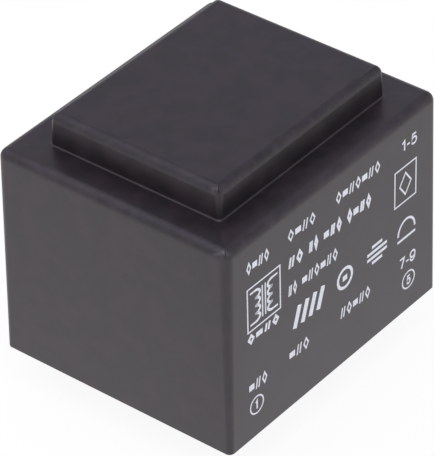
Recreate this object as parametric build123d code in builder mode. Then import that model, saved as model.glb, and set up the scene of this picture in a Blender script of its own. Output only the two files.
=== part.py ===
from build123d import *
import os

# A small mains transformer for a printed circuit board, potted in a moulded case.
# Millimetres. X runs along the long side, the printed side faces -Y, and Z points up.
# The origin is the middle of the case's open rim, which stands on the board.
# The core and its clearances set the bobbin, and both of them set the case.

# Windings: two coils side by side on one tube, each with a layer of tape
primary_chamber = 6.6
secondary_chamber = 5.5
coil_depth = 3.3
tape_thickness = 0.2
primary_wire = 0.3            # the fine wire, folded and twisted for its way out
secondary_wire = 0.25

# Core: a stack of E and I sheets that change ends from layer to layer
centre_leg = 10.0
outer_leg = 5.0               # also the depth of the E's back and of the I
sheet_thickness = 0.5
sheet_count = 31

# Bobbin: a square tube along Y with three flanges, which makes two chambers
tube_clearance = 0.1          # centre leg to the tube's bore, each side
tube_wall = 0.8
tube_corner = 0.8
end_flange = 0.8
middle_flange = 1.0
flange_corner = 1.2
flange_rise = 0.25            # flange beyond the tape
flange_clearance = 0.35       # flange to the outer leg
end_clearance = 0.15          # end flange to the core's yoke
slot_width = 0.6              # slots in the end flanges, for the wires
slot_inset = 1.3              # middle of a slot from the side of the tube

# Rails under the core's yokes, each with five pin places
pin_pitch = 5.0
pin_places = 5
pin_setback = 2.65            # end flange to the middle of its row of pins
rail_height = 2.8
rail_gap = 0.3                # rail to the sheet above it
rail_lip = 1.4                # rail beyond the middle of its pins
rail_end = 2.0                # rail beyond its last pin
rail_corner = 0.3
pin_hole_depth = 2.4
notch_width = 0.8             # notches in the rail's outer edge, between the pins
notch_depth = 0.6

# Pins
pin_diameter = 0.8
pin_reach = 4.0               # below the rim
pin_tip = 0.2
pin_post = 0.7                # square post above the round shank, for the wire and the rail

# Wire ends and their solder
lead_turn = 0.6               # end flange to the bend of the wire
lead_sides = 8                # the wire's section: flats as far out as its round
wrap_height = 1.0             # wire wound on a post
solder_cover = 0.1            # solder over the wound wire
solder_toe = 0.05             # solder left on the post where it thins out, below the wire

# Case
case_wall = 1.0
core_clearance = 0.25         # core to the case, each side, at the rim
draft = 0.3                   # degrees, inside and out
case_edge = 0.95              # upright corners and shoulder
crown_edge = 0.9              # the same on the crown
cavity_corner = 0.4
crown_foot = 0.2              # bevel where the crown rises from the shoulder
crown_side_gap = 1.85         # bobbin's flanges to the crown's inside, along X
crown_end_gap = 1.7           # bobbin's ends to the crown's inside, along Y

# Resin: how much of it lies between the pieces
bobbin_standoff = 0.7         # rim to the lowest edge of the bobbin
shoulder_fill = 1.45          # core to the roof of the shoulder
crown_fill = 0.3              # bobbin to the roof of the crown
resin_recess = 0.5            # rim to the surface of the resin
resin_creep = 0.3             # resin drawn along the walls towards the rim where it set

# Core and bobbin sizes that follow
core_height = sheet_count * sheet_thickness
bore_length = centre_leg + 2 * tube_clearance
bore_height = core_height + 2 * tube_clearance
tube_length = bore_length + 2 * tube_wall
tube_height = bore_height + 2 * tube_wall
tape_depth = coil_depth + tape_thickness
flange_reach = tape_depth + flange_rise
flange_length = tube_length + 2 * flange_reach
flange_height = tube_height + 2 * flange_reach
bobbin_width = 2 * end_flange + middle_flange + primary_chamber + secondary_chamber
window_length = tube_clearance + tube_wall + flange_reach + flange_clearance
window_width = bobbin_width + 2 * end_clearance
core_length = centre_leg + 2 * (window_length + outer_leg)
core_width = window_width + 2 * outer_leg

# Places along the coil, from the printed side to the back
bobbin_back = bobbin_width / 2
primary_front = end_flange - bobbin_width / 2
primary_back = primary_front + primary_chamber
secondary_front = primary_back + middle_flange
secondary_back = secondary_front + secondary_chamber

# Heights above the board
coil_height = bobbin_standoff + flange_height / 2
core_bottom = coil_height - core_height / 2
core_top = coil_height + core_height / 2
rail_bottom = core_bottom - rail_gap - rail_height
wire_height = rail_bottom - wrap_height / 2
shoulder_roof = core_top + shoulder_fill
shoulder_height = shoulder_roof + case_wall
crown_roof = bobbin_standoff + flange_height + crown_fill
crown_height = crown_roof + case_wall

# Case sizes that follow
cavity_length = core_length + 2 * core_clearance
cavity_width = core_width + 2 * core_clearance
case_length = cavity_length + 2 * case_wall
case_width = cavity_width + 2 * case_wall
crown_bore_length = flange_length + 2 * crown_side_gap
crown_bore_width = bobbin_width + 2 * crown_end_gap
crown_length = crown_bore_length + 2 * case_wall
crown_width = crown_bore_width + 2 * case_wall

# Solder sizes that follow
bead_thickness = max(primary_wire, secondary_wire) + solder_cover
bead_slope = bead_thickness - solder_toe

# Rails and slots that follow
row_place = bobbin_width / 2 + pin_setback
rail_inside = bobbin_width / 2 - end_flange
rail_outside = row_place + rail_lip
rail_length = (pin_places - 1) * pin_pitch + 2 * rail_end
slot_place = tube_length / 2 - slot_inset
slot_top = wire_height + slot_width / 2

# Places on the rails: one to five along the printed side, six to ten on the way back behind it.
# Only four of them hold a pin.
last_place = (pin_places - 1) / 2
pin_sites = {
    "pin_1": (-last_place * pin_pitch, -row_place),
    "pin_5": (last_place * pin_pitch, -row_place),
    "pin_7": ((last_place - 1) * pin_pitch, row_place),
    "pin_9": ((1 - last_place) * pin_pitch, row_place),
}

os.makedirs("parts", exist_ok=True)


def across(y):
    """A plane across the coil's axis at y, seen from the printed side, with the coil in its middle."""
    return Plane(origin=(0, y, coil_height), x_dir=(1, 0, 0), z_dir=(0, -1, 0))


def drafted_box(length, width, floor, roof, corner):
    """A box that narrows upwards, with its four upright corners rounded."""
    with BuildPart() as box:
        with BuildSketch(Plane.XY.offset(floor)):
            Rectangle(length, width)
        extrude(amount=roof - floor, taper=draft)
        fillet(box.edges().filter_by(Axis.Z, tolerance=2 * draft), corner)
    return box.part


def wound(depth, mode=Mode.ADD):
    """The tube's outline with a layer of this depth wound round it."""
    RectangleRounded(tube_length + 2 * depth, tube_height + 2 * depth, tube_corner + depth, mode=mode)


def band(inner, outer, back):
    """A layer wound round the tube, from one depth to another, drawn at its back end."""
    with BuildSketch(across(back)) as outline:
        wound(outer)
        wound(inner, Mode.SUBTRACT)
    return outline.sketch


def stack(sheet):
    """Loose copies of one sheet, every second one turned end for end."""
    layers = [Pos(0, 0, layer * sheet_thickness) for layer in range(sheet_count)]
    return [place * Rot(0, 0, 180 * (layer % 2)) * sheet for layer, place in enumerate(layers)]


def wrapped_post(cover):
    """The outline of a post with a cover of this thickness, each corner a flat as far out as its round."""
    with BuildSketch() as outline:
        Rectangle(pin_post + 2 * cover, pin_post + 2 * cover)
        chamfer(outline.vertices(), cover * (2 - 2**0.5))
    return outline.sketch


def lead(slot_x, site, chamber_end, wire):
    """A wire's way out of its chamber: through the flange's slot, under the rail and round the post."""
    side = 1 if chamber_end > 0 else -1
    start = (slot_x, chamber_end - side * wire, wire_height)
    bend = (slot_x, side * (bobbin_width / 2 + lead_turn), wire_height)
    post_side = (site[0], site[1] - side * (pin_post + wire) / 2, wire_height)
    with BuildLine() as route:
        Polyline(start, bend, post_side)
    with BuildSketch(Plane(origin=route.line @ 0, z_dir=route.line % 0)) as section:
        RegularPolygon(wire / 2, lead_sides, major_radius=False, rotation=180 / lead_sides)
    with BuildSketch(Plane.XY.offset(rail_bottom)) as turns:
        with Locations(site):
            add(wrapped_post(wire))
    with BuildSketch(Plane.XY.offset(rail_bottom)) as post:
        with Locations(site):
            Rectangle(pin_post, pin_post)
    sweep(section.sketch, path=route.line, transition=Transition.RIGHT)
    extrude(turns.sketch, amount=-wrap_height)
    extrude(post.sketch, amount=-wrap_height, mode=Mode.SUBTRACT)


# The hollow of the case, which the resin fills: a drafted box with the crown's hollow on top
with BuildPart() as cavity:
    add(drafted_box(cavity_length, cavity_width, 0, shoulder_roof, cavity_corner))
    add(drafted_box(crown_bore_length, crown_bore_width, shoulder_roof, crown_roof, cavity_corner))

# Moulded case: one shell with a flat shoulder and a raised crown
with BuildPart() as housing:
    add(drafted_box(case_length, case_width, 0, shoulder_height, case_edge))
    fillet(housing.faces().sort_by(Axis.Z)[-1].edges(), case_edge)
    add(drafted_box(crown_length, crown_width, shoulder_height, crown_height, crown_edge))
    shoulder = housing.faces().filter_by(Plane.XY).sort_by(Axis.Z)[-2]
    chamfer(shoulder.inner_wires()[0].edges(), crown_foot)
    fillet(housing.faces().sort_by(Axis.Z)[-1].edges(), crown_edge)
    add(cavity.part, mode=Mode.SUBTRACT)
housing.part.label = "housing"
export_step(housing.part, "parts/housing.step")

# Coil former: tube, flanges and pin rails in one moulding
with BuildPart() as bobbin:
    with BuildSketch(across(bobbin_back)):
        wound(0)
    extrude(amount=bobbin_width)
    for flange_back, thickness in (
        (primary_front, end_flange),
        (secondary_front, middle_flange),
        (bobbin_back, end_flange),
    ):
        with BuildSketch(across(flange_back)):
            RectangleRounded(flange_length, flange_height, flange_corner)
        extrude(amount=thickness)
    for side in (-1, 1):
        with BuildSketch(Plane.XY.offset(rail_bottom)):
            with Locations((0, side * (rail_inside + rail_outside) / 2)):
                RectangleRounded(rail_length, rail_outside - rail_inside, rail_corner)
        extrude(amount=rail_height)
        with BuildSketch(Plane.XY.offset(rail_bottom)):
            with Locations((0, side * row_place)):
                with GridLocations(pin_pitch, 1, pin_places, 1):
                    Rectangle(pin_post, pin_post)
        extrude(amount=pin_hole_depth, mode=Mode.SUBTRACT)
        with BuildSketch(Plane.XY.offset(rail_bottom)):
            with Locations((0, side * rail_outside)):
                with GridLocations(pin_pitch, 1, pin_places - 1, 1):
                    Rectangle(notch_width, 2 * notch_depth)
        extrude(amount=rail_height, mode=Mode.SUBTRACT)
    with BuildSketch(across(bobbin_back)):
        Rectangle(bore_length, bore_height)
    extrude(amount=bobbin_width, mode=Mode.SUBTRACT)
    for flange_back in (primary_front, bobbin_back):
        with BuildSketch(Plane.XZ.offset(-flange_back)):
            with Locations((-slot_place, 0), (slot_place, 0)):
                Rectangle(slot_width, slot_top, align=(Align.CENTER, Align.MIN))
        extrude(amount=end_flange, mode=Mode.SUBTRACT)
bobbin.part.label = "bobbin"
export_step(bobbin.part, "parts/bobbin.step")

# One E and one I sheet, in the bottom layer, with the E's back towards +Y
with BuildPart() as e_sheet:
    with BuildSketch(Plane.XY.offset(core_bottom)):
        with Locations((0, outer_leg / 2)):
            Rectangle(core_length, core_width - outer_leg)
        with GridLocations(centre_leg + window_length, 1, 2, 1):
            Rectangle(window_length, window_width, mode=Mode.SUBTRACT)
    extrude(amount=sheet_thickness)
with BuildPart() as i_sheet:
    with BuildSketch(Plane.XY.offset(core_bottom)):
        with Locations((0, (outer_leg - core_width) / 2)):
            Rectangle(core_length, outer_leg)
    extrude(amount=sheet_thickness)

# The core's sheets touch but stay loose, so each kind is a group of solids
e_laminations = Compound(label="e_laminations", children=stack(e_sheet.part))
export_step(e_laminations, "parts/e_laminations.step")
i_laminations = Compound(label="i_laminations", children=stack(i_sheet.part))
export_step(i_laminations, "parts/i_laminations.step")

# Mains coil in the front chamber, with its ends on the outer pins of the front row
with BuildPart() as primary_winding:
    extrude(band(0, coil_depth, primary_back), amount=primary_chamber)
    lead(-slot_place, pin_sites["pin_1"], primary_front, primary_wire)
    lead(slot_place, pin_sites["pin_5"], primary_front, primary_wire)
primary_winding.part.label = "primary_winding"
export_step(primary_winding.part, "parts/primary_winding.step")

# Low-voltage coil in the back chamber, with its ends on the second pin from each end of the back row
with BuildPart() as secondary_winding:
    extrude(band(0, coil_depth, secondary_back), amount=secondary_chamber)
    lead(slot_place, pin_sites["pin_7"], secondary_back, secondary_wire)
    lead(-slot_place, pin_sites["pin_9"], secondary_back, secondary_wire)
secondary_winding.part.label = "secondary_winding"
export_step(secondary_winding.part, "parts/secondary_winding.step")

# Insulating tape round each coil
with BuildPart() as primary_tape:
    extrude(band(coil_depth, tape_depth, primary_back), amount=primary_chamber)
primary_tape.part.label = "primary_tape"
export_step(primary_tape.part, "parts/primary_tape.step")

with BuildPart() as secondary_tape:
    extrude(band(coil_depth, tape_depth, secondary_back), amount=secondary_chamber)
secondary_tape.part.label = "secondary_tape"
export_step(secondary_tape.part, "parts/secondary_tape.step")

# Pins: a square post in the rail and the resin, and a round shank that goes through the board
pins = []
for name, site in pin_sites.items():
    with BuildPart() as pin:
        with BuildSketch(Plane.XY.offset(resin_recess)):
            with Locations(site):
                Rectangle(pin_post, pin_post)
        extrude(amount=rail_bottom + pin_hole_depth - resin_recess)
        with BuildSketch(Plane.XY.offset(resin_recess)):
            with Locations(site):
                Circle(pin_diameter / 2)
        extrude(amount=-(resin_recess + pin_reach))
        chamfer(pin.faces().sort_by(Axis.Z)[0].edges(), pin_tip)
    pin.part.label = name
    export_step(pin.part, "parts/" + name + ".step")
    pins.append(pin.part)

# Solder over the wound wire: a bead that is drawn in to the post below the last turn
with BuildPart() as solder_joints:
    with BuildSketch(Plane.XY.offset(rail_bottom)):
        with Locations(*pin_sites.values()):
            add(wrapped_post(bead_thickness))
    extrude(amount=-(wrap_height + bead_slope))
    chamfer(solder_joints.faces().sort_by(Axis.Z)[: len(pins)].edges(), bead_slope)
    for piece in (primary_winding.part, secondary_winding.part, *pins):
        add(piece, mode=Mode.SUBTRACT)
solder_joints.part.label = "solder_joints"
export_step(solder_joints.part, "parts/solder_joints.step")

# The space that the resin leaves under itself, bevelled where the resin crept along the walls
with BuildPart() as recess:
    with BuildSketch(Plane.XY):
        Rectangle(cavity_length, cavity_width)
    extrude(amount=resin_recess)
    chamfer(recess.faces().sort_by(Axis.Z)[-1].edges(), resin_creep)

# Resin: all that is left of the hollow above its surface
with BuildPart() as potting:
    add(cavity.part)
    add(recess.part, mode=Mode.SUBTRACT)
    with BuildSketch(Plane.XY.offset(core_bottom)):
        Rectangle(core_length, core_width)
        with GridLocations(centre_leg + window_length, 1, 2, 1):
            Rectangle(window_length, window_width, mode=Mode.SUBTRACT)
    extrude(amount=core_height, mode=Mode.SUBTRACT)
    for piece in (bobbin, primary_winding, secondary_winding, primary_tape, secondary_tape, solder_joints):
        add(piece.part, mode=Mode.SUBTRACT)
    for piece in pins:
        add(piece, mode=Mode.SUBTRACT)
potting.part.label = "potting"
export_step(potting.part, "parts/potting.step")
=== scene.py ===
"""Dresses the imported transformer: its moulded case, the print, the resin, the pins and what they hide."""

import logging
import math
from dataclasses import dataclass, field
from enum import Enum

import bmesh
import bpy
from mathutils import Matrix, Vector


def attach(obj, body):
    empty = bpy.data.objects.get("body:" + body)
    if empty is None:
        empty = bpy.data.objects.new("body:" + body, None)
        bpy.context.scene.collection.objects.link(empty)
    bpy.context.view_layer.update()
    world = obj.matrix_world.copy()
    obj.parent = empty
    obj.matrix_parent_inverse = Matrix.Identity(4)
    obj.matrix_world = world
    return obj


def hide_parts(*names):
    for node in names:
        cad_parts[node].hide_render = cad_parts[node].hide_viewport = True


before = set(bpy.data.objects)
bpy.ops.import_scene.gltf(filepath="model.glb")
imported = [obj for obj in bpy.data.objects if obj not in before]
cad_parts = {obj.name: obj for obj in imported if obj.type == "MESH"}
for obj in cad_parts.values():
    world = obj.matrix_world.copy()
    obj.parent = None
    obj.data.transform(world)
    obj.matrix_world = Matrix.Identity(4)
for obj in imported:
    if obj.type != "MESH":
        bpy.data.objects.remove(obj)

LOG = logging.getLogger("transformer")
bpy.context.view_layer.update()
METRES = 0.001  # everything below is in millimetres until a mesh is written
WELD = 1e-7  # metres within which two vertices are one
ARC_STEP = 7.5  # degrees
FEWEST_STEPS = 8

Point = tuple[float, float]
Colour = tuple[float, float, float, float]
Inputs = dict[str | int, object]
Socket = bpy.types.NodeSocket
Tree = bpy.types.NodeTree
Material = bpy.types.Material
Mesh = bpy.types.Mesh
Form = bmesh.types.BMesh


class Mark(Enum):
    """The plain shapes that stand where words were."""

    BLOCK = 0
    LOZENGE = 1
    HATCH = 2


class Slot(Enum):
    """Names of material slots for the case, the resin and the pins; no piece is given one, and the pins' one
    tells a pin from its collar.
    """

    CASE = "case_moulding"
    RESIN = "resin"
    PIN = "tinned_pin"


def linear(code: str) -> Colour:
    """Turns an sRGB hex colour to linear light.

    Args:
        code: The colour as #rrggbb.

    Returns:
        Red, green, blue and an alpha of one.
    """
    channels = [int(code[start : start + 2], 16) / 255 for start in (1, 3, 5)]
    red, green, blue = (c / 12.92 if c <= 0.04045 else ((c + 0.055) / 1.055) ** 2.4 for c in channels)
    return red, green, blue, 1.0


def add_node(
    tree: Tree, kind: str, settings: dict[str, object] | None = None, inputs: Inputs | None = None
) -> bpy.types.Node:
    """Adds a shader node with its settings and links.

    Args:
        tree: The tree that it goes into.
        kind: Blender's name for the node, without ShaderNode in front.
        settings: Properties of the node itself.
        inputs: A value or another node's output for each named or numbered input.

    Returns:
        The new node.
    """
    node = tree.nodes.new("ShaderNode" + kind)
    for name, value in (settings or {}).items():
        setattr(node, name, value)
    for name, value in (inputs or {}).items():
        if isinstance(value, Socket):
            tree.links.new(value, node.inputs[name])
        else:
            node.inputs[name].default_value = value
    return node


def bare_material(name: str) -> Material:
    """Makes a material with an empty tree.

    Args:
        name: The material's name.

    Returns:
        The material.
    """
    material = bpy.data.materials.new(name)
    material.use_nodes = True
    material.node_tree.nodes.clear()
    return material


@dataclass(frozen=True)
class Ground:
    """What a pattern is laid out on: a material's tree, and the place on the object in millimetres."""

    tree: Tree
    place: Socket


@dataclass(frozen=True)
class Mottle:
    """A cloudy pattern that lies in the surface: patches, streaks, pits or creases, by its sizes."""

    size: float  # the width of one cloud, in millimetres
    detail: float = 2.0  # how many finer layers it has
    low: float = 0.0  # the level at which it starts to show
    high: float = 1.0  # the level from which it shows in full
    stretch: tuple[float, float, float] = (1.0, 1.0, 1.0)  # a small factor draws it out along that axis

    def raw(self, ground: Ground) -> Socket:
        """Lays the bare pattern out.

        Args:
            ground: What it is laid out on.

        Returns:
            A value from nought to one.
        """
        factors = tuple(factor / self.size for factor in self.stretch)
        laid = add_node(ground.tree, "VectorMath", {"operation": "MULTIPLY"}, {0: ground.place, 1: factors})
        inputs = {"Vector": laid.outputs["Vector"], "Scale": 1.0, "Detail": self.detail}
        return add_node(ground.tree, "TexNoise", None, inputs).outputs["Fac"]

    def amount(self, ground: Ground, least: float, most: float) -> Socket:
        """Spreads what shows of the pattern over a range.

        Args:
            ground: What it is laid out on.
            least: The value where nothing of it shows.
            most: The value where it shows in full.

        Returns:
            A value in the range.
        """
        levels = {"Value": self.raw(ground), "From Min": self.low, "From Max": self.high}
        spread = levels | {"To Min": least, "To Max": most}
        return add_node(ground.tree, "MapRange", None, spread).outputs["Result"]

    def toned(self, ground: Ground, base: Socket | Colour, other: str, most: float) -> Socket:
        """Lays a second colour over a first where the pattern shows.

        Args:
            ground: What it is laid out on.
            base: The first colour.
            other: The second colour as #rrggbb.
            most: How much of the second colour there is where the pattern shows in full.

        Returns:
            The mixed colour.
        """
        colours = {0: self.amount(ground, 0.0, most), 6: base, 7: linear(other)}
        return add_node(ground.tree, "Mix", {"data_type": "RGBA"}, colours).outputs[2]

    def normal(self, ground: Ground, depth: float, under: Socket | None = None) -> Socket:
        """Turns the pattern to a relief.

        Args:
            ground: What it is laid out on.
            depth: How deep the relief is, in millimetres.
            under: The normal of a relief that this one lies on.

        Returns:
            The bumped normal.
        """
        below = {} if under is None else {"Normal": under}
        relief = {"Height": self.raw(ground), "Distance": depth * METRES}
        return add_node(ground.tree, "Bump", None, relief | below).outputs["Normal"]


@dataclass(frozen=True)
class Finish:
    """What a surface is made of and how it was made: the common part of all finishes."""

    name: str
    colour: str
    roughness: float
    index: float = 1.5

    def pattern(self, ground: Ground) -> Inputs:
        """Builds the finish's own inputs for the shader.

        Args:
            ground: What its patterns are laid out on.

        Returns:
            A value or a socket for each input that it sets.
        """
        return {}

    def material(self) -> Material:
        """Builds the material.

        Returns:
            A material whose patterns are laid out in millimetres of the object.
        """
        material = bare_material(self.name)
        tree = material.node_tree
        metres = add_node(tree, "TexCoord").outputs["Object"]
        scaled = add_node(tree, "VectorMath", {"operation": "SCALE"}, {"Vector": metres, "Scale": 1 / METRES})
        plain = {"Base Color": linear(self.colour), "Roughness": self.roughness, "IOR": self.index}
        inputs = plain | self.pattern(Ground(tree, scaled.outputs["Vector"]))
        shader = add_node(tree, "BsdfPrincipled", None, inputs)
        add_node(tree, "OutputMaterial", None, {"Surface": shader.outputs["BSDF"]})
        return material


@dataclass(frozen=True)
class CloudedFinish(Finish):
    """A finish whose colour is clouded by a second one, over a relief."""

    second: str = "#000000"
    clouds: Mottle = Mottle(1.0)
    clouded: float = 1.0  # how much of the second colour there is where the clouds show in full
    relief: Mottle = Mottle(1.0)
    relief_depth: float = 0.01

    def pattern(self, ground: Ground) -> Inputs:
        """Builds the clouds and the relief.

        Args:
            ground: What its patterns are laid out on.

        Returns:
            A value or a socket for each input that it sets.
        """
        return {
            "Base Color": self.clouds.toned(ground, linear(self.colour), self.second, self.clouded),
            "Normal": self.relief.normal(ground, self.relief_depth),
        }


@dataclass(frozen=True)
class SparkErodedPolyester(CloudedFinish):
    """Glass-filled polyester, moulded in a spark-eroded tool: a satin black that scatters what it mirrors."""

    # The resin-rich skin changes over 2 or 3 mm, and its tone over half of that.
    second: str = "#1c2025"
    clouds: Mottle = Mottle(1.2, 2.0, 0.45, 0.65)
    clouded: float = 0.6
    warm: str = "#2f2228"
    skin: Mottle = Mottle(2.4, 3.0, 0.42, 0.62)
    skin_gloss: Mottle = Mottle(2.4, 3.0, 0.3, 0.7)
    # The tool's pits are about 0.08 mm wide, too fine to show; they are drawn twice as wide.
    relief: Mottle = Mottle(0.16, 1.0)
    relief_depth: float = 0.0045
    # Paler grey of rubbed edges, also used as a painted highlight on the rounded edges and front corners.
    wear_and_highlight: str = "#6a676d"
    tint: str = "#fdf6ff"
    gloss_change: float = 0.03
    # Rubbed marks of about a millimetre, and chips of less than half of one at two front corners; this paler
    # colour is partly wear and partly a painted highlight on the rounded edges.
    rubbing_and_sheen: Mottle = Mottle(0.9, 4.0, 0.4, 0.7)
    chipping_and_glints: Mottle = Mottle(0.4, 1.0, 0.45, 0.65, (1.0, 0.5, 1.0))
    rubbed_and_sheen_most: float = 0.1
    chipped_and_glint_most: float = 0.5
    # Where the two knocked corners with their painted highlight are, how far each reaches, and which part of
    # that is chipped in full.
    knocks_and_glints: tuple[tuple[float, float, float, float], ...] = (
        (-16.0, -12.9, 22.7, 1.3),
        (-12.3, -9.4, 26.2, 0.7),
    )
    knock_and_glint_middle: float = 0.2

    def near_knocks_and_glints(self, ground: Ground) -> Socket:
        """Measures how near a place is to the two knocked front corners, which also carry a painted
        highlight.

        Args:
            ground: What its patterns are laid out on.

        Returns:
            One close to a knocked corner with its painted highlight, and nought from its reach onwards.
        """
        tree = ground.tree
        nearest: Socket | float = 0.0
        for x, y, z, reach in self.knocks_and_glints:
            ends = {0: ground.place, 1: (x, y, z)}
            away = add_node(tree, "VectorMath", {"operation": "DISTANCE"}, ends).outputs["Value"]
            span = {"Value": away, "From Min": self.knock_and_glint_middle * reach, "From Max": reach}
            near = add_node(tree, "MapRange", None, span | {"To Min": 1.0, "To Max": 0.0}).outputs["Result"]
            nearest = add_node(tree, "Math", {"operation": "MAXIMUM"}, {0: near, 1: nearest}).outputs["Value"]
        return nearest

    def pattern(self, ground: Ground) -> Inputs:
        """Builds fine pits, broad clouds where the resin skin is thicker, and edges painted a little paler,
        partly as rubbing and partly as a painted highlight.

        Args:
            ground: What its patterns are laid out on.

        Returns:
            A value or a socket for each input that it sets.
        """
        tree, plain = ground.tree, super().pattern(ground)
        rubbed_and_sheen = self.rubbing_and_sheen.amount(ground, 0.0, self.rubbed_and_sheen_most)
        chipped_and_glint = self.chipping_and_glints.amount(ground, self.rubbed_and_sheen_most, self.chipped_and_glint_most)
        marks = {0: self.near_knocks_and_glints(ground), 2: rubbed_and_sheen, 3: chipped_and_glint}
        marked = add_node(tree, "Mix", {"data_type": "FLOAT"}, marks).outputs[0]
        # Paler colour along rounded edges and at the front corners: partly wear, partly a painted highlight.
        wear_and_sheen = add_node(tree, "Attribute", {"attribute_name": "wear_and_sheen"}).outputs["Fac"]
        scuffs_and_highlights = add_node(tree, "Math", {"operation": "MULTIPLY"}, {0: wear_and_sheen, 1: marked}).outputs["Value"]
        tinted = self.skin.toned(ground, plain["Base Color"], self.warm, self.clouded)
        colours = {0: scuffs_and_highlights, 6: tinted, 7: linear(self.wear_and_highlight)}
        glossy, dull = self.roughness - self.gloss_change, self.roughness + self.gloss_change
        return plain | {
            "Base Color": add_node(tree, "Mix", {"data_type": "RGBA"}, colours).outputs[2],
            "Roughness": self.skin_gloss.amount(ground, glossy, dull),
            "Specular Tint": linear(self.tint),
        }


@dataclass(frozen=True)
class CastEpoxy(Finish):
    """Epoxy resin, poured and set: a glossy black that levelled itself, with a few fine pinholes."""

    # The resin sinks a little over each space below it, 5 to 10 mm apart.
    swell: Mottle = Mottle(7.0)
    swell_depth: float = 0.03
    # Bubbles burst to pinholes of about 0.2 mm, a few millimetres apart.
    pinhole_pitch: float = 2.6
    pinhole_edges: Point = (0.02, 0.06)
    pinhole_depth: float = 0.03
    haze: Mottle = Mottle(3.0, 5.0, 0.4, 0.7)
    haze_dulling: float = 0.16

    def pattern(self, ground: Ground) -> Inputs:
        """Builds a slow swell from shrinkage, a dull haze in patches, and pinholes.

        Args:
            ground: What its patterns are laid out on.

        Returns:
            A value or a socket for each input that it sets.
        """
        tree = ground.tree
        cells = add_node(tree, "TexVoronoi", None, {"Vector": ground.place, "Scale": 1 / self.pinhole_pitch})
        inner, outer = self.pinhole_edges
        edges = {"Value": cells.outputs["Distance"], "From Min": inner, "From Max": outer}
        holes = {
            "Height": add_node(tree, "MapRange", None, edges).outputs["Result"],
            "Distance": self.pinhole_depth * METRES,
            "Normal": self.swell.normal(ground, self.swell_depth),
        }
        return {
            "Roughness": self.haze.amount(ground, self.roughness, self.roughness + self.haze_dulling),
            "Normal": add_node(tree, "Bump", None, holes).outputs["Normal"],
        }


@dataclass(frozen=True)
class MouldedNylon(CloudedFinish):
    """Glass-filled nylon, moulded and left uncoloured: an ivory with faint flow clouds and a dull skin."""

    second: str = "#c9c1a6"
    clouds: Mottle = Mottle(3.0, 2.0, 0.4, 0.7)
    clouded: float = 0.7
    # The glass fibres are 0.01 mm thick; they are drawn at 0.12 mm so that they show.
    relief: Mottle = Mottle(0.12, 1.0, stretch=(1.0, 0.2, 1.0))
    relief_depth: float = 0.004


@dataclass(frozen=True)
class StampedSiliconSteel(CloudedFinish):
    """Silicon steel sheet, rolled, coated and stamped: grey metal with a blue-brown oxide and dark seams."""

    # Each sheet oxidises in its own stretches, several millimetres long.
    second: str = "#6f6a68"
    clouds: Mottle = Mottle(1.2, 4.0, 0.4, 0.65, (0.2, 0.2, 1.0))
    clouded: float = 0.6
    # The rolls leave lines about 0.02 mm apart; they are drawn at 0.15 mm so that they show.
    relief: Mottle = Mottle(0.15, 2.0, 0.3, 0.7, (0.05, 1.0, 1.0))
    relief_depth: float = 0.004
    gloss_change: float = 0.08
    seam: str = "#26211f"
    sheet: float = 0.5
    first_seam: float = 5.35
    seam_width: float = 0.05
    seam_most: float = 0.9

    def seams(self, ground: Ground) -> Socket:
        """Finds the seams, which show in the stack's upright sides and not in the flat of a sheet.

        Args:
            ground: What its patterns are laid out on.

        Returns:
            How dark the seam is at each place.
        """
        tree = ground.tree
        height = add_node(tree, "SeparateXYZ", None, {"Vector": ground.place}).outputs["Z"]
        above = add_node(tree, "Math", {"operation": "SUBTRACT"}, {0: height, 1: self.first_seam})
        folded = {0: above.outputs["Value"], 1: self.sheet / 2}
        to_seam = add_node(tree, "Math", {"operation": "PINGPONG"}, folded).outputs["Value"]
        normal = add_node(tree, "NewGeometry").outputs["Normal"]
        tilt = add_node(tree, "SeparateXYZ", None, {"Vector": normal}).outputs["Z"]
        lying = add_node(tree, "Math", {"operation": "ABSOLUTE"}, {0: tilt}).outputs["Value"]
        darkest = add_node(tree, "MapRange", None, {"Value": lying, "To Min": self.seam_most, "To Max": 0.0})
        span = {"Value": to_seam, "From Min": 0.0, "From Max": self.seam_width}
        fading = span | {"To Min": darkest.outputs["Result"], "To Max": 0.0}
        return add_node(tree, "MapRange", None, fading).outputs["Result"]

    def pattern(self, ground: Ground) -> Inputs:
        """Builds rolling streaks, oxide in patches, and a dark seam between each two sheets.

        Args:
            ground: What its patterns are laid out on.

        Returns:
            A value or a socket for each input that it sets.
        """
        plain = super().pattern(ground)
        colours = {0: self.seams(ground), 6: plain["Base Color"], 7: linear(self.seam)}
        bright, dull = self.roughness - self.gloss_change, self.roughness + self.gloss_change
        return plain | {
            "Metallic": 1.0,
            "Base Color": add_node(ground.tree, "Mix", {"data_type": "RGBA"}, colours).outputs[2],
            "Roughness": self.relief.amount(ground, bright, dull),
        }


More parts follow.
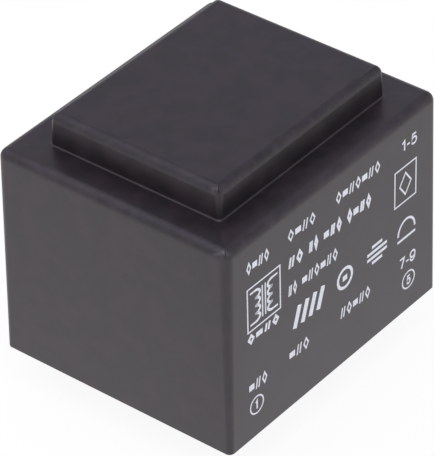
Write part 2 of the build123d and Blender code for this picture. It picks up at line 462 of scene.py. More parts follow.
@dataclass(frozen=True)
class EnamelledCopper(Finish):
    """Copper wire under clear enamel: a red-brown metal below a glossy skin, ridged by its turns."""

    shade: str = "#8c3a1c"
    shading: Mottle = Mottle(1.2, 2.0, 0.4, 0.7)
    shade_most: float = 0.6
    enamel: float = 0.8
    enamel_roughness: float = 0.08
    # The real wire is about 0.1 mm thick, too fine to show; its turns are drawn 0.25 mm apart.
    turn: float = 0.25
    turn_depth: float = 0.05
    unevenness: float = 0.4
    unevenness_grain: float = 2.0

    def pattern(self, ground: Ground) -> Inputs:
        """Builds turns side by side along the coil's axis, a little uneven in tone.

        Args:
            ground: What its patterns are laid out on.

        Returns:
            A value or a socket for each input that it sets.
        """
        scale = math.tau / 20 / self.turn  # Blender's bands lie tau / 20 apart at a scale of one
        inputs = {"Distortion": self.unevenness, "Detail Scale": self.unevenness_grain}
        inputs |= {"Vector": ground.place, "Scale": scale}
        bands = {"bands_direction": "Y", "wave_profile": "SIN"}
        turns = add_node(ground.tree, "TexWave", bands, inputs).outputs["Fac"]
        ridges = {"Height": turns, "Distance": self.turn_depth * METRES}
        return {
            "Metallic": 1.0,
            "Coat Weight": self.enamel,
            "Coat Roughness": self.enamel_roughness,
            "Base Color": self.shading.toned(ground, linear(self.colour), self.shade, self.shade_most),
            "Normal": add_node(ground.tree, "Bump", None, ridges).outputs["Normal"],
        }


@dataclass(frozen=True)
class PolyesterTape(CloudedFinish):
    """Polyester film tape, wound tight: a glossy amber yellow, darker where the adhesive is thick."""

    second: str = "#b9790f"
    clouds: Mottle = Mottle(2.5, 3.0, 0.4, 0.7)
    clouded: float = 0.7
    # The film lies over wire of 0.1 to 0.3 mm and creases every millimetre or so, across the coil's axis.
    relief: Mottle = Mottle(0.8, 3.0, stretch=(1.0, 0.15, 1.0))
    relief_depth: float = 0.03


@dataclass(frozen=True)
class DippedTin(CloudedFinish):
    """Drawn wire, dipped in tin: a soft silver with streaks along the pin and dull patches of oxide."""

    second: str = "#a19d96"
    clouds: Mottle = Mottle(0.8, 4.0, 0.45, 0.7)
    clouded: float = 0.45
    oxide_gloss: Mottle = Mottle(0.8, 4.0, 0.3, 0.7)
    brighter: float = 0.06
    duller: float = 0.12
    # The die leaves lines about 0.02 mm apart; they are drawn at 0.12 mm so that they show.
    relief: Mottle = Mottle(0.12, stretch=(1.0, 1.0, 0.08))
    relief_depth: float = 0.006

    def pattern(self, ground: Ground) -> Inputs:
        """Builds streaks left by the draw, under patches of oxide.

        Args:
            ground: What its patterns are laid out on.

        Returns:
            A value or a socket for each input that it sets.
        """
        bright, dull = self.roughness - self.brighter, self.roughness + self.duller
        metal = {"Metallic": 1.0, "Roughness": self.oxide_gloss.amount(ground, bright, dull)}
        return super().pattern(ground) | metal


@dataclass(frozen=True)
class SetSolder(Finish):
    """Tin solder, set after dipping: bright, with the grain of its crystals just showing."""

    # Crystals in solder that set in air are 0.1 to 0.5 mm wide.
    crystal: float = 0.25
    crystal_depth: float = 0.006
    waves: Mottle = Mottle(0.6)
    wave_depth: float = 0.02

    def pattern(self, ground: Ground) -> Inputs:
        """Builds low crystals and a slight waviness.

        Args:
            ground: What its patterns are laid out on.

        Returns:
            A value or a socket for each input that it sets.
        """
        cells = add_node(ground.tree, "TexVoronoi", None, {"Vector": ground.place, "Scale": 1 / self.crystal})
        grain = {"Height": cells.outputs["Distance"], "Distance": self.crystal_depth * METRES}
        crystals = add_node(ground.tree, "Bump", None, grain).outputs["Normal"]
        return {"Metallic": 1.0, "Normal": self.waves.normal(ground, self.wave_depth, crystals)}


@dataclass(frozen=True)
class ScreenInk(CloudedFinish):
    """White ink, screen printed on the moulding: flat and opaque, thinner where the grain lies below it."""

    # The screen's mesh is about 0.1 mm; its thin spots are drawn at 0.22 mm so that they show.
    second: str = "#b9bdc6"
    clouds: Mottle = Mottle(0.22, 2.0, 0.55, 0.8)
    clouded: float = 0.4
    relief: Mottle = clouds
    relief_depth: float = 0.004


CASE_FINISH = SparkErodedPolyester("spark_eroded_polyester", "#1d1719", 0.40, 1.59)
RESIN_FINISH = CastEpoxy("cast_epoxy", "#141313", 0.14, 1.55)
FORMER_FINISH = MouldedNylon("moulded_nylon", "#dcd5c1", 0.45, 1.53)
CORE_FINISH = StampedSiliconSteel("stamped_silicon_steel", "#a6a8ab", 0.38)
WIRE_FINISH = EnamelledCopper("enamelled_copper", "#b4562b", 0.25)
TAPE_FINISH = PolyesterTape("polyester_tape", "#dba61e", 0.22, 1.57)
PIN_FINISH = DippedTin("dipped_tin", "#d3d0c9", 0.26)
SOLDER_FINISH = SetSolder("set_solder", "#cbcac6", 0.2)
INK_FINISH = ScreenInk("screen_ink", "#f8faff", 0.5)


def dressed(node: str, material: Material) -> None:
    """Gives a CAD node a finish.

    Args:
        node: The node's name.
        material: The finish.
    """
    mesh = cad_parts[node].data
    mesh.materials.clear()
    mesh.materials.append(material)
    LOG.info("%s dressed in %s", node, material.name)


def piece(name: str, mesh: Mesh, material: Material) -> bpy.types.Object:
    """Puts a new mesh on the object's only body.

    Args:
        name: The piece's name.
        mesh: Its mesh, in metres.
        material: Its finish.

    Returns:
        The new object.
    """
    mesh.materials.append(material)
    shown = bpy.data.objects.new(name, mesh)
    bpy.context.scene.collection.objects.link(shown)
    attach(shown, "root")
    LOG.info("%s: %d faces", name, len(mesh.polygons))
    return shown


def written(name: str, form: Form, smooth: bool = True) -> Mesh:
    """Turns a form to a mesh and frees it.

    Args:
        name: The mesh's name.
        form: The form, in metres.
        smooth: Whether its faces shade as one surface.

    Returns:
        The mesh.
    """
    for face in form.faces:
        face.smooth = smooth
    mesh = bpy.data.meshes.new(name)
    form.to_mesh(mesh)
    form.free()
    return mesh


def even_normals(shown: bpy.types.Object) -> None:
    """Lets the large faces set the shading, so that flat faces between rounded edges stay flat.

    Args:
        shown: The piece.
    """
    modifier = shown.modifiers.new("even_normals", "WEIGHTED_NORMAL")
    modifier.mode = "FACE_AREA"
    modifier.weight = 100
    modifier.keep_sharp = True


@dataclass(frozen=True)
class Outline:
    """One level of a lofted form: a rectangle with round corners that lies flat."""

    half_x: float
    half_y: float
    corner: float
    height: float
    # How much paler the surface is painted, along a level and round its corners: partly wear, partly a
    # painted highlight on rounded edges.
    wear_and_sheen: float = 0.0
    corner_wear_and_sheen: float = 0.0
    notch: float = 0.0  # how far the middle of each corner is drawn in
    crowding: float = 0.0  # how much closer together the steps are in the middle of a corner

    def points(self, side_steps: int, corner_steps: int) -> list[tuple[Vector, float]]:
        """Walks round the outline.

        Args:
            side_steps: Steps along each straight side.
            corner_steps: Steps round each corner.

        Returns:
            Each point with how much paler it is painted there, partly for wear and partly as a painted
            highlight.
        """
        arcs: list[list[tuple[Vector, float]]] = []
        for quarter, (side_x, side_y) in enumerate(((1, 1), (-1, 1), (-1, -1), (1, -1))):
            arc = []
            for step in range(corner_steps + 1):
                share = 2 * step / corner_steps - 1
                share *= 1 - self.crowding + self.crowding * abs(share)
                turn = math.pi / 2 * (quarter + (1 + share) / 2)
                reach = self.corner - (self.notch if 2 * step == corner_steps else 0.0)
                x = side_x * (self.half_x - self.corner) + reach * math.cos(turn)
                y = side_y * (self.half_y - self.corner) + reach * math.sin(turn)
                bend = math.sin(math.pi * step / corner_steps)
                arc.append((Vector((x, y, self.height)), max(self.wear_and_sheen, self.corner_wear_and_sheen * bend)))
            arcs.append(arc)
        walk = []
        for arc, following in zip(arcs, arcs[1:] + arcs[:1]):
            walk += arc
            for step in range(1, side_steps):
                walk.append((arc[-1][0].lerp(following[0][0], step / side_steps), self.wear_and_sheen))
        return walk


def lofted(name: str, outlines: list[Outline], side_steps: int = 6, corner_steps: int = 8) -> Mesh:
    """Lays a closed skin over a stack of outlines and caps both ends.

    Args:
        name: The mesh's name.
        outlines: The levels in order.
        side_steps: Steps along each straight side.
        corner_steps: Steps round each corner.

    Returns:
        The mesh in metres, smooth but for its notches, with its paler edges, partly wear and partly painted
        highlight, as an attribute.
    """
    form = bmesh.new()
    wear_and_sheen = form.verts.layers.float.new("wear_and_sheen")
    rows = []
    for outline in outlines:
        row = []
        for point, wear_and_highlight in outline.points(side_steps, corner_steps):
            vertex = form.verts.new(point * METRES)
            vertex[wear_and_sheen] = wear_and_highlight
            row.append(vertex)
        rows.append(row)
    for level, (row, following) in enumerate(zip(rows, rows[1:])):
        for index in range(len(row)):
            beside = (index + 1) % len(row)
            form.faces.new((row[index], row[beside], following[beside], following[index]))
            if max(outlines[level].notch, outlines[level + 1].notch) > 0:
                middle = index % (side_steps + corner_steps) - corner_steps // 2
                form.edges.get((row[index], following[index])).smooth = abs(middle) > 1
    form.faces.new(rows[0])
    form.faces.new(rows[-1])
    bmesh.ops.remove_doubles(form, verts=form.verts, dist=WELD)
    bmesh.ops.recalc_face_normals(form, faces=form.faces)
    return written(name, form)


@dataclass(frozen=True)
class Tier:
    """One storey of the case's outside: a drafted block whose upright corners widen with height."""

    length: float
    width: float
    foot: float
    top: float
    foot_corner: float
    top_corner: float
    edge: float
    draft: float = 0.3  # degrees
    # How much paler the corners are painted: partly wear, partly a painted highlight.
    corner_wear_and_sheen: float = 0.2
    notch: float = 0.1  # the faint groove where the mould's parts met, down each upper corner
    crowding: float = 0.55

    def level(self, height: float, inset: float = 0.0, wear_and_sheen: float = 0.0, notch: float = 0.0) -> Outline:
        """Draws the outline at a height.

        Args:
            height: Above the rim.
            inset: How far it is drawn in, or out where it is negative.
            wear_and_sheen: How much paler the surface is painted there, partly for wear and partly as a
                painted highlight.
            notch: How far the middle of each corner is drawn in.

        Returns:
            The outline.
        """
        rise = height - self.foot
        drawn_in = rise * math.tan(math.radians(self.draft)) + inset
        corner = self.foot_corner + (self.top_corner - self.foot_corner) * rise / (self.top - self.foot)
        sizes = self.length / 2 - drawn_in, self.width / 2 - drawn_in, max(corner - inset, 0.0)
        return Outline(*sizes, height, wear_and_sheen, self.corner_wear_and_sheen, notch, self.crowding)

    def rounded_top(self, turns: list[float]) -> list[Outline]:
        """Rounds the upper edge, which is painted palest in its middle, partly for wear and partly as a
        painted highlight.

        Args:
            turns: The angles to step through.

        Returns:
            The levels in order.
        """
        levels = []
        for turn in turns:
            height = self.top - self.edge * (1 - math.sin(turn))
            bend = math.sin(2 * turn)
            levels.append(self.level(height, self.edge * (1 - math.cos(turn)), bend, self.notch * bend))
        return levels


@dataclass
class Case:
    """The moulded case: drafted walls, a flat shoulder and a raised crown, open below."""

    body: Tier = Tier(32.5, 27.5, foot=0.0, top=23.3, foot_corner=0.6, top_corner=1.0, edge=0.95)
    crown: Tier = Tier(25.0, 20.1, foot=23.3, top=26.8, foot_corner=0.45, top_corner=0.7, edge=0.9)
    crown_foot: float = 0.18
    wall: float = 1.0
    cavity_corner: float = 0.4
    crown_bore: Point = (23.0, 18.1)
    rim_edge: float = 0.06
    rim_inner_edge: float = 0.05
    # How much paler the rim's rounded edge is painted: partly wear, partly a painted highlight.
    rim_wear_and_sheen: float = 0.9
    wall_end: float = 1.3  # how far below the shoulder the plain wall ends, in radii of its edge
    edge_steps: int = 8

    @property
    def turns(self) -> list[float]:
        """The angles that step round a rounded edge."""
        return [math.pi / 2 * step / self.edge_steps for step in range(self.edge_steps + 1)]

    def hollow_level(self, height: float, inset: float = 0.0) -> Outline:
        """The hollow's outline at a height below the shoulder's roof."""
        drawn_in = self.wall + height * math.tan(math.radians(self.body.draft)) + inset
        half_x, half_y = self.body.length / 2 - drawn_in, self.body.width / 2 - drawn_in
        return Outline(half_x, half_y, self.cavity_corner, height)

    def outside(self) -> list[Outline]:
        """Steps from the rim up to the top of the crown.

        Returns:
            The levels in order.
        """
        levels = []
        for turn in self.turns:
            inset = self.rim_edge * (1 - math.sin(turn))
            levels.append(self.body.level(self.rim_edge * (1 - math.cos(turn)), inset, self.rim_wear_and_sheen))
        levels.append(self.body.level(2 * self.rim_edge))
        levels.append(self.body.level(self.body.top - self.wall_end * self.body.edge))
        levels += self.body.rounded_top(self.turns)
        for turn in self.turns:
            height = self.crown.foot + self.crown_foot * (1 - math.cos(turn))
            levels.append(self.crown.level(height, -self.crown_foot * (1 - math.sin(turn))))
        return levels + self.crown.rounded_top(self.turns)

    def inside(self) -> list[Outline]:
        """Steps from the top of the hollow down to the rim.

        Returns:
            The levels in order.
        """
        roof, step = self.crown.top - self.wall, self.body.top - self.wall
        half_x, half_y = (size / 2 for size in self.crown_bore)
        narrowing = (roof - step) * math.tan(math.radians(self.crown.draft))
        levels = [
            Outline(half_x - narrowing, half_y - narrowing, self.cavity_corner, roof),
            Outline(half_x, half_y, self.cavity_corner, step),
            self.hollow_level(step),
            self.hollow_level(2 * self.rim_inner_edge),
        ]
        for turn in self.turns:
            widening = self.rim_inner_edge * (1 - math.cos(turn))
            levels.append(self.hollow_level(self.rim_inner_edge * (1 - math.sin(turn)), -widening))
        return levels

    def build(self, finish: Material) -> None:
        """Builds the case in place of its CAD solid.

        Args:
            finish: The moulding's finish.
        """
        shown = piece("case", lofted("case", self.inside() + self.outside()), finish)
        even_normals(shown)
        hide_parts("housing")


@dataclass(frozen=True)
class Area:
    """A place on the printed face, in millimetres: across from the middle, and up from the rim."""

    left: float
    right: float
    bottom: float
    top: float

    def corners(self, margin: float = 0.0) -> list[Point]:
        """Finds the corners of the place, or of one that lies inside it.

        Args:
            margin: How far inside it that one lies.

        Returns:
            The corners, from the lower left one to the right.
        """
        left, right = self.left + margin, self.right - margin
        bottom, top = self.bottom + margin, self.top - margin
        return [(left, bottom), (right, bottom), (right, top), (left, top)]


@dataclass(frozen=True)
class Stroke:
    """A line of even width on the printed face, through points across and up."""

    path: list[Point]
    width: float
    closed: bool = False


def arc(centre: Point, radius: Point, start: float = 0.0, sweep: float = 360.0) -> list[Point]:
    """Steps round an arc.

    Args:
        centre: Its centre.
        radius: Its radius across and up.
        start: Where it starts, in degrees.
        sweep: How far it goes, in degrees.

    Returns:
        Its points, without the last one where the arc closes.
    """
    steps = max(FEWEST_STEPS, round(abs(sweep) / ARC_STEP))
    count = steps if abs(sweep) == 360 else steps + 1
    turns = [math.radians(start + sweep * step / steps) for step in range(count)]
    (across, up), (reach_x, reach_y) = centre, radius
    return [(across + reach_x * math.cos(turn), up + reach_y * math.sin(turn)) for turn in turns]


@dataclass(frozen=True)
class Row:
    """A row of print, with plain shapes where words were."""

    bottom: float
    top: float
    line: float
    words: tuple[tuple[float, float, int], ...]  # where each word starts and ends, and its number of shapes
    share: float = 0.8  # how much of its pitch a shape takes up
    lean: float = 0.35  # how far a hatch leans, as a part of its width

    def shape(self, kind: Mark, left: float, right: float) -> list[Stroke]:
        """Draws one plain shape.

        Args:
            kind: Which shape it is.
            left: Where it starts.
            right: Where it ends.

        Returns:
            Its strokes.
        """
        across, up = (left + right) / 2, (self.bottom + self.top) / 2
        if kind is Mark.BLOCK:
            return [Stroke([(left, up), (right, up)], (self.top - self.bottom) / 2)]
        (left, bottom), _, (right, top), _ = Area(left, right, self.bottom, self.top).corners(self.line / 2)
        if kind is Mark.LOZENGE:
            return [Stroke([(left, up), (across, bottom), (right, up), (across, top)], self.line, True)]
        lean = self.lean * (right - left)
        return [Stroke([(foot, bottom), (foot + lean, top)], self.line) for foot in (left, right - lean)]

    def strokes(self) -> list[Stroke]:
        """Fills the place of each word with shapes.

        Returns:
            The strokes of the row.
        """
        strokes = []
        for start, end, count in self.words:
            pitch = (end - start) / count
            for index in range(count):
                left = start + pitch * index
                kind = Mark((2 * index + count) % len(Mark))
                strokes += self.shape(kind, left, left + self.share * pitch)
        return strokes


LINE, COIL_LINE, LEAD_LINE, BAR_LINE, BLOCK_LINE = 0.17, 0.28, 0.22, 0.62, 0.6
FINE_LINE, BOLD_LINE, RING_LINE, ARCH_LINE = 0.18, 0.28, 0.34, 0.26

# The width and the strokes of each numeral, in a box one unit high, and whether a stroke closes.
BOWL = arc((0.3, 0.32), (0.3, 0.32), 140, -290)
NUMERALS: dict[str, tuple[float, list[tuple[list[Point], bool]]]] = {
    "-": (0.4, [([(0.03, 0.38), (0.37, 0.38)], False)]),
    "1": (0.4, [([(0.02, 0.76), (0.3, 0.96), (0.3, 0.0)], False)]),
    "5": (0.6, [([(0.56, 0.96), (0.14, 0.96), (0.06, 0.5), *BOWL], False)]),
    "7": (0.6, [([(0.02, 0.96), (0.58, 0.96), (0.22, 0.0)], False)]),
    "9": (0.6, [(arc((0.3, 0.66), (0.29, 0.32)), True), (arc((0.28, 0.6), (0.32, 0.6), 0, -150), False)]),
}

# The places of the signs, across from the middle of the printed face and up from the rim.
SIGNS = (
    # A ring round each of the two lone numbers.
    Stroke(arc((-12.2, 3.65), (0.97, 0.97)), LINE, True),
    Stroke(arc((11.72, 3.6), (0.98, 0.98)), LINE, True),
    # A frame round a coil diagram: two core lines, and on each side of them four loops and two leads.
    Stroke(Area(-13.3, -8.45, 12.7, 17.6).corners(), LINE, True),
    *(Stroke([(core, 13.35), (core, 16.95)], FINE_LINE) for core in (-11.095, -10.655)),
    *(Stroke(arc((-12.175, loop), (0.72, 0.45), 90, -180), COIL_LINE) for loop in (13.8, 14.7, 15.6, 16.5)),
    *(Stroke(arc((-9.575, loop), (0.72, 0.45), 90, 180), COIL_LINE) for loop in (13.8, 14.7, 15.6, 16.5)),
    *(Stroke([(-12.175, end), (-12.925, end)], LEAD_LINE) for end in (13.35, 16.95)),
    *(Stroke([(-9.575, end), (-8.825, end)], LEAD_LINE) for end in (13.35, 16.95)),
    # A plate with a lozenge.
    Stroke(Area(9.35, 12.75, 13.4, 17.5).corners(), LINE, True),
    Stroke([(10.14, 15.45), (11.05, 14.19), (11.96, 15.45), (11.05, 16.71)], FINE_LINE, True),
    # Four slanted bars.
    *(Stroke([(foot, 8.9), (foot + 0.8, 11.25)], BAR_LINE) for foot in (-6.35, -5.15, -3.95, -2.75)),
    # A ring round a block.
    Stroke(arc((1.45, 10.075), (1.1, 1.1)), RING_LINE, True),
    Stroke([(1.1, 10.075), (1.8, 10.075)], BLOCK_LINE),
    # A stack of four lines, the middle two longer.
    *(Stroke([(5.725, level), (7.375, level)], RING_LINE) for level in (9.15, 11.01)),
    *(Stroke([(4.975, level), (8.125, level)], RING_LINE) for level in (9.77, 10.39)),
    # An arch over a bar.
    Stroke(arc((11.3, 9.65), (1.35, 1.5), 0, 180), ARCH_LINE),
    Stroke([(9.85, 9.02), (12.75, 9.02)], BOLD_LINE),
)


@dataclass
class Print:
    """White screen print on the front: plain pin numbers, rows of plain shapes, and simple drawn signs."""

    face: float = Case.body.width / 2  # the printed side at the rim, from the middle
    draft: float = Case.body.draft
    ink: float = 0.01
    sunk: float = 0.003
    sharpest: float = 0.35  # a mitre is cut off beyond this
    stroke: float = 0.21
    gap: float = 0.17
    numbers: tuple[tuple[str, Area], ...] = (
        ("1-5", Area(10.35, 12.85, 19.3, 20.65)),
        ("7-9", Area(10.15, 12.85, 5.45, 6.85)),
        ("1", Area(-12.5, -12.0, 3.05, 4.25)),
        ("5", Area(11.37, 12.08, 3.0, 4.15)),
    )
    rows: tuple[Row, ...] = (
        Row(19.3, 20.6, FINE_LINE, ((-13.35, -9.85, 4), (-7.2, -2.85, 4), (0.1, 7.15, 7))),
        Row(16.15, 17.6, BOLD_LINE, ((-7.2, -4.75, 2), (-4.1, -2.5, 2), (-1.8, 1.15, 3), (1.8, 5.75, 4))),
        Row(13.05, 14.4, FINE_LINE, ((-7.25, -5.8, 2), (-5.15, 0.5, 6))),
        Row(11.2, 12.35, BOLD_LINE, ((-13.35, -8.45, 4),)),
        Row(5.45, 6.8, FINE_LINE, ((-13.3, -10.4, 3), (-7.2, -4.0, 3), (0.75, 5.65, 5))),
    )
    signs: tuple[Stroke, ...] = SIGNS

    def on_face(self, point: Vector, out: float) -> Vector:
        """Places a point of the print in space.

        Args:
            point: Across and up, in millimetres.
            out: How far it stands off the moulding.

        Returns:
            The point in metres.
        """
        face = self.face - point.y * math.tan(math.radians(self.draft)) + out
        return Vector((point.x, -face, point.y)) * METRES

    def ribbon(self, form: Form, stroke: Stroke) -> None:
        """Draws a stroke with mitred corners.

        Args:
            form: The form that it is added to.
            stroke: The stroke.
        """
        points = [Vector(point) for point in stroke.path]
        count = len(points)
        rails = []
        for index, point in enumerate(points):
            before = points[index - 1] if stroke.closed or index else point
            after = points[(index + 1) % count] if stroke.closed or index < count - 1 else point
            runs = [run.normalized() for run in (point - before, after - point) if run.length > 0]
            normals = [Vector((-run.y, run.x)) for run in runs]
            mitre = (normals[0] + normals[-1]).normalized()
            aside = mitre * stroke.width / 2 / max(mitre.dot(normals[0]), self.sharpest)
            sides = (point + aside, point - aside)
            depths = (self.ink, -self.sunk)
            rails.append([form.verts.new(self.on_face(side, out)) for out in depths for side in sides])
        for index in range(count if stroke.closed else count - 1):
            a, b = rails[index], rails[(index + 1) % count]
            for first, second in ((0, 1), (1, 3), (3, 2), (2, 0)):
                form.faces.new((a[first], a[second], b[second], b[first]))
        if not stroke.closed:
            for end in (rails[0], rails[-1]):
                form.faces.new((end[0], end[1], end[3], end[2]))

    def number(self, text: str, area: Area) -> list[Stroke]:
        """Fits a number to its place.

        Args:
            text: The number.
            area: Where it stands.

        Returns:
            Its strokes.
        """
        signs = [NUMERALS[sign] for sign in text]
        span = sum(width for width, _ in signs) + self.gap * (len(signs) - 1)
        left, bottom = area.left + self.stroke / 2, area.bottom + self.stroke / 2
        across, up = (area.right - area.left - self.stroke) / span, area.top - area.bottom - self.stroke
        start, strokes = 0.0, []
        for width, paths in signs:
            for path, closed in paths:
                placed = [(left + (start + x) * across, bottom + y * up) for x, y in path]
                strokes.append(Stroke(placed, self.stroke, closed))
            start += width + self.gap
        return strokes

    def build(self, finish: Material) -> None:
        """Prints the front.

        Args:
            finish: The ink.
        """
        drawn = {
            "print_rows": [stroke for row in self.rows for stroke in row.strokes()],
            "print_signs": self.signs,
            "print_numbers": [stroke for text, area in self.numbers for stroke in self.number(text, area)],
        }
        for name, strokes in drawn.items():
            form = bmesh.new()
            for stroke in strokes:
                self.ribbon(form, stroke)
            bmesh.ops.recalc_face_normals(form, faces=form.faces)
            piece(name, written(name, form, smooth=False), finish)


@dataclass
class Pins:
    """Four pins: a round tinned shank that goes through the board, and a square post above it."""

    places: tuple[tuple[str, Point], ...] = (
        ("pin_1", (-10.0, -10.0)),
        ("pin_5", (10.0, -10.0)),
        ("pin_7", (5.0, 10.0)),
        ("pin_9", (-5.0, 10.0)),
    )
    radius: float = 0.4
    round_steps: int = 7  # in each quarter of it
    foot: float = -4.0
    # The cut tip, rounded by the tin: how far each level lies inside the shank and above the foot.
    tip: tuple[Point, ...] = ((0.24, 0.0), (0.2, 0.02), (0.03, 0.15), (0.008, 0.22), (0.0, 0.32))
    waist: float = -1.2
    resin: float = 0.5
    post: float = 0.7
    post_corner: float = 0.06
    top: float = 4.65
    creep: float = 0.45  # how far the resin's collar spreads over the surface
    collar: float = 0.22  # how far it climbs the pin
    collar_curve: float = 2.2
    collar_steps: int = 7
    overlap: float = 0.01  # how far it reaches into the pin
    sunk: float = 0.05  # how far its back lies in the resin

    def ring(self, radius: float, height: float) -> Outline:
        """A round level of a pin."""
        return Outline(radius, radius, radius, height)

    def levels(self) -> list[Outline]:
        """Steps along one pin from its cut tip to the end of its post.

        Returns:
            The levels in order.
        """
        shank = [self.ring(self.radius - inset, self.foot + rise) for inset, rise in self.tip]
        shank += [self.ring(self.radius, height) for height in (self.waist, self.resin)]
        half = self.post / 2
        return shank + [Outline(half, half, self.post_corner, height) for height in (self.resin, self.top)]

    def creeping(self) -> list[Outline]:
        """Steps along the resin that crept down a pin, from the surface outwards.

        Returns:
            The levels in order.
        """
        levels = [self.ring(self.radius + self.creep, self.resin + self.sunk)]
        for step in range(self.collar_steps + 1):
            far = step / self.collar_steps
            height = self.resin - self.collar * far**self.collar_curve
            levels.append(self.ring(self.radius + self.creep - (self.creep + self.overlap) * far, height))
        return levels

    def build(self, finish: Material, resin: Material) -> None:
        """Builds the pins in place of their CAD solids, each with its collar of resin.

        Args:
            finish: The tin.
            resin: The resin.
        """
        for name, (across, along) in self.places:
            for label, levels, material, slot in (
                (name + "_tinned", self.levels(), finish, Slot.PIN),
                (name + "_collar", self.creeping(), resin, Slot.RESIN),
            ):
                mesh = lofted(label, levels, side_steps=1, corner_steps=self.round_steps)
                mesh.transform(Matrix.Translation(Vector((across, along, 0)) * METRES))
                shown = piece(label, mesh, material)
                even_normals(shown)
                if slot is Slot.PIN:
                    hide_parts(name)


@dataclass
class ResinSkin:
    """The resin's underside as it set: nearly level, drawn along the walls of the case."""

    half_length: float = 15.25
    half_width: float = 12.75
    surface: float = 0.5
    cover: float = 0.03
    sunk: float = 0.05  # how far its back lies in the resin
    climb: float = 0.3
    fall_off: float = 0.24
    steepness: float = 1.4
    swell: float = 0.012
    # The swell's turn for each millimetre and its start, along and across: one wave in about 20 mm.
    swell_x: Point = (0.31, 0.7)
    swell_y: Point = (0.27, -0.4)
    pitch: float = 0.6
    # Steps away from a wall, close together where the resin climbs it.
    beside_wall: tuple[float, ...] = (0.0, 0.03, 0.07, 0.12, 0.18, 0.25, 0.34, 0.46, 0.62, 0.85, 1.2)

    def stations(self, half: float) -> list[float]:
        """Finds places across the surface.

        Args:
            half: Half of the surface's size.

        Returns:
            The places in order.
        """
        near = self.beside_wall
        span = 2 * (half - near[-1])
        steps = round(span / self.pitch)
        inner = [-half + near[-1] + span * step / steps for step in range(1, steps)]
        return [-half + gap for gap in near] + inner + [half - gap for gap in reversed(near)]

    def bottom(self, x: float, y: float) -> float:
        """Finds the height of the surface above the rim.

        Args:
            x: Along the case, from its middle.
            y: Across the case, from its middle.

        Returns:
            The height.
        """
        gap = max(min(self.half_length - abs(x), self.half_width - abs(y)), 0.0)
        (turn_x, start_x), (turn_y, start_y) = self.swell_x, self.swell_y
        wave = math.sin(x * turn_x + start_x) * math.cos(y * turn_y + start_y)
        climbing = self.climb * math.exp(-((gap / self.fall_off) ** self.steepness))
        return self.surface - self.cover - self.swell * (wave + 1) - climbing

    def build(self, finish: Material) -> None:
        """Builds the skin as a thin closed sheet over the resin.

        Args:
            finish: The resin's finish.
        """
        form = bmesh.new()
        columns, rows = self.stations(self.half_length), self.stations(self.half_width)
        grids = []
        for upper in (False, True):
            grid = []
            for x in columns:
                heights = [self.surface + self.sunk if upper else self.bottom(x, y) for y in rows]
                grid.append([form.verts.new(Vector((x, y, z)) * METRES) for y, z in zip(rows, heights)])
            grids.append(grid)
            for first, second in zip(grid, grid[1:]):
                for index in range(len(rows) - 1):
                    form.faces.new((first[index], second[index], second[index + 1], first[index + 1]))
        low, high = grids
        for edge in (0, -1):
            sides = [(a[edge], b[edge]) for a, b in zip(low, high)], list(zip(low[edge], high[edge]))
            for side in sides:
                for (a, b), (c, d) in zip(side, side[1:]):
                    form.faces.new((a, c, d, b))
        bmesh.ops.recalc_face_normals(form, faces=form.faces)
        piece("resin_skin", written("resin_skin", form), finish)


@dataclass
class Inside:
    """What the resin hides: the coil former, the core, the windings, their tape and the solder."""

    finishes: tuple[tuple[Finish, tuple[str, ...]], ...] = (
        (FORMER_FINISH, ("bobbin",)),
        (CORE_FINISH, ("e_laminations", "i_laminations")),
        (WIRE_FINISH, ("primary_winding", "secondary_winding")),
        (TAPE_FINISH, ("primary_tape", "secondary_tape")),
        (SOLDER_FINISH, ("solder_joints",)),
    )

    def dress(self) -> None:
        """Gives each hidden CAD node its finish, with one material for each finish."""
        for finish, nodes in self.finishes:
            material = finish.material()
            for node in nodes:
                dressed(node, material)


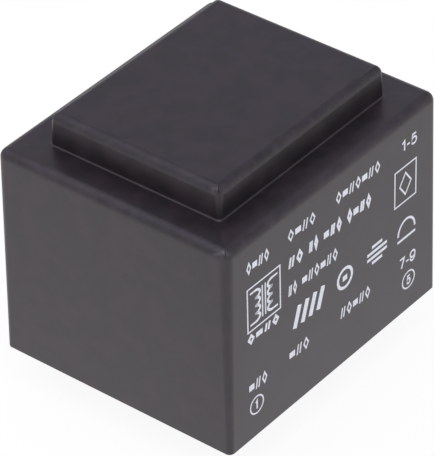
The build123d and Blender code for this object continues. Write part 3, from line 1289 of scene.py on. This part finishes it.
@dataclass
class Studio:
    """A pale floor, a room that is white round the horizon and grey overhead, and one soft lamp."""

    floor_level: float = -4.0
    floor_half: float = 2000.0
    floor_colour: str = "#f1f1f1"
    floor_roughness: float = 0.9
    seen_white: float = 0.88  # how much of the floor is plain white to the camera; the rest keeps the shadow
    camera_glow: float = 1.04
    # What mirrors the floor sees it glow: from one distance to another, from one strength to another.
    near_floor: tuple[Point, Point] = ((18.0, 60.0), (1.2, 1.07))
    far_floor: tuple[Point, Point] = ((70.0, 200.0), (1.0, 0.7))
    # The room's light by how far up a place in it is, from 0 at the horizon to 1 overhead.
    overhead: tuple[Point, Point] = ((0.6, 0.95), (0.63, 0.32))
    horizon: float = 0.85
    horizon_end: Point = (0.12, 0.42)
    # A broad window behind the object on the left, by the cosine of the angle to its middle.
    window: tuple[float, float, float] = (-0.3, 0.45, 0.84)
    window_light: tuple[Point, Point] = ((0.75, 0.95), (0.0, 0.5))
    sky_colour: str = "#eff0ff"
    lamp_place: tuple[float, float, float] = (-200.0, -120.0, 660.0)
    lamp_aim: tuple[float, float, float] = (0.0, 0.0, 12.0)
    lamp_side: float = 640.0
    lamp_watts: float = 1.9

    def ramp(self, tree: Tree, value: Socket, span: tuple[Point, Point], unit: float = 1.0) -> Socket:
        """Turns a value to a strength.

        Args:
            tree: The tree that it goes into.
            value: The value.
            span: The values between which the strength changes, and the strengths at them.
            unit: What the span's values are measured in.

        Returns:
            The strength.
        """
        (start, end), (first, last) = span
        levels = {"Value": value, "From Min": start * unit, "From Max": end * unit}
        return add_node(tree, "MapRange", None, levels | {"To Min": first, "To Max": last}).outputs["Result"]

    def paper(self) -> Material:
        """Makes the floor's finish: matt white paper that the case and the pins mirror as a white sweep.

        Returns:
            The material.
        """
        material = bare_material("matt_paper")
        tree = material.node_tree
        plain = {"Base Color": linear(self.floor_colour), "Roughness": self.floor_roughness}
        matt = add_node(tree, "BsdfPrincipled", None, plain).outputs["BSDF"]
        rays = add_node(tree, "LightPath").outputs
        bounces = {0: rays["Is Glossy Ray"], 1: rays["Is Transmission Ray"]}
        mirrored = add_node(tree, "Math", {"operation": "MAXIMUM"}, bounces).outputs["Value"]
        centre = add_node(tree, "TexCoord").outputs["Object"]
        away = add_node(tree, "VectorMath", {"operation": "LENGTH"}, {0: centre}).outputs["Value"]
        spans = enumerate((self.near_floor, self.far_floor))
        glows = {number: self.ramp(tree, away, span, METRES) for number, span in spans}
        glow = add_node(tree, "Math", {"operation": "MULTIPLY"}, glows).outputs["Value"]
        strengths = {0: mirrored, 2: self.camera_glow, 3: glow}
        strength = add_node(tree, "Mix", {"data_type": "FLOAT"}, strengths).outputs[0]
        glowing = {"Color": linear("#ffffff"), "Strength": strength}
        white = add_node(tree, "Emission", None, glowing).outputs["Emission"]
        seen = {0: rays["Is Camera Ray"], 1: self.seen_white}
        to_camera = add_node(tree, "Math", {"operation": "MULTIPLY"}, seen).outputs["Value"]
        share = add_node(tree, "Math", {"operation": "MAXIMUM"}, {0: to_camera, 1: mirrored}).outputs["Value"]
        mixed = add_node(tree, "MixShader", None, {0: share, 1: matt, 2: white}).outputs["Shader"]
        add_node(tree, "OutputMaterial", None, {"Surface": mixed})
        return material

    def floor(self) -> None:
        """Lays the floor under the tips of the pins."""
        form = bmesh.new()
        half = self.floor_half
        corners = ((-half, -half), (half, -half), (half, half), (-half, half))
        form.faces.new([form.verts.new(Vector((x, y, self.floor_level)) * METRES) for x, y in corners])
        mesh = written("floor", form, smooth=False)
        mesh.materials.append(self.paper())
        shown = bpy.data.objects.new("floor", mesh)
        bpy.context.scene.collection.objects.link(shown)

    def room(self) -> None:
        """Lights the room: white round the horizon, a cool grey overhead, and a soft window."""
        world = bpy.data.worlds.new("pale_room")
        world.use_nodes = True
        tree = world.node_tree
        tree.nodes.clear()
        direction = add_node(tree, "TexCoord").outputs["Generated"]
        rise = add_node(tree, "SeparateXYZ", None, {"Vector": direction}).outputs["Z"]
        low = self.ramp(tree, rise, (self.horizon_end, (1.0, 0.0)))
        levels = {0: low, 2: self.ramp(tree, rise, self.overhead), 3: self.horizon}
        level = add_node(tree, "Mix", {"data_type": "FLOAT"}, levels).outputs[0]
        ends = {0: direction, 1: tuple(Vector(self.window).normalized())}
        near = add_node(tree, "VectorMath", {"operation": "DOT_PRODUCT"}, ends).outputs["Value"]
        lit = {0: level, 1: self.ramp(tree, near, self.window_light)}
        level = add_node(tree, "Math", {"operation": "ADD"}, lit).outputs["Value"]
        tones = {0: low, 6: linear(self.sky_colour), 7: linear("#ffffff")}
        tone = add_node(tree, "Mix", {"data_type": "RGBA"}, tones).outputs[2]
        light = add_node(tree, "Background", None, {"Color": tone, "Strength": level})
        add_node(tree, "OutputWorld", None, {"Surface": light.outputs["Background"]})
        bpy.context.scene.world = world

    def lamp(self) -> None:
        """Hangs a soft square lamp that points at the object."""
        light = bpy.data.lights.new("key", "AREA")
        light.size = self.lamp_side * METRES
        light.energy = self.lamp_watts
        shown = bpy.data.objects.new("key", light)
        place = Vector(self.lamp_place)
        shown.location = place * METRES
        shown.rotation_euler = (place - Vector(self.lamp_aim)).to_track_quat("Z", "Y").to_euler()
        bpy.context.scene.collection.objects.link(shown)

    def build(self) -> None:
        """Sets the floor, the room, the lamp and the plain view."""
        self.floor()
        self.room()
        self.lamp()
        bpy.context.scene.view_settings.view_transform = "Standard"


@dataclass
class PhotoCamera:
    """The camera at the photograph's place, found from thirteen edges of the case."""

    azimuth: float = -50.85
    elevation: float = 36.81
    roll: float = -1.30
    distance: float = 339.2
    focal_pixels: float = 3553.0
    aim: Vector = field(default_factory=lambda: Vector((0, 0, 12)))
    aside: float = -0.39
    above: float = -1.10
    picture_height: int = 456
    sensor: float = 36.0
    clip: Point = (10.0, 20000.0)

    def place(self) -> None:
        """Adds the camera and makes it the scene's own."""
        angles = (self.azimuth, self.elevation, self.roll)
        azimuth, elevation, roll = (math.radians(angle) for angle in angles)
        flat = math.cos(elevation)
        back = Vector((math.sin(azimuth) * flat, -math.cos(azimuth) * flat, math.sin(elevation)))
        level = Vector((math.cos(azimuth), math.sin(azimuth), 0))
        upright = back.cross(level)
        right = math.cos(roll) * level + math.sin(roll) * upright
        up = -math.sin(roll) * level + math.cos(roll) * upright
        place = (self.aim + self.aside * level + self.above * upright + self.distance * back) * METRES
        lens = bpy.data.cameras.new("photo_camera")
        lens.sensor_width = self.sensor
        lens.lens = self.focal_pixels * self.sensor / self.picture_height
        lens.clip_start, lens.clip_end = (away * METRES for away in self.clip)
        camera = bpy.data.objects.new("photo_camera", lens)
        camera.matrix_world = Matrix.Translation(place) @ Matrix((right, up, back)).transposed().to_4x4()
        bpy.context.scene.collection.objects.link(camera)
        bpy.context.scene.camera = camera


def main() -> None:
    """Builds the sub-assemblies in order."""
    logging.basicConfig(level=logging.INFO, format="%(name)s: %(message)s")
    resin = RESIN_FINISH.material()
    Case().build(CASE_FINISH.material())
    Print().build(INK_FINISH.material())
    dressed("potting", resin)
    ResinSkin().build(resin)
    Pins().build(PIN_FINISH.material(), resin)
    Inside().dress()
    Studio().build()
    PhotoCamera().place()


if __name__ == "__main__":
    main()
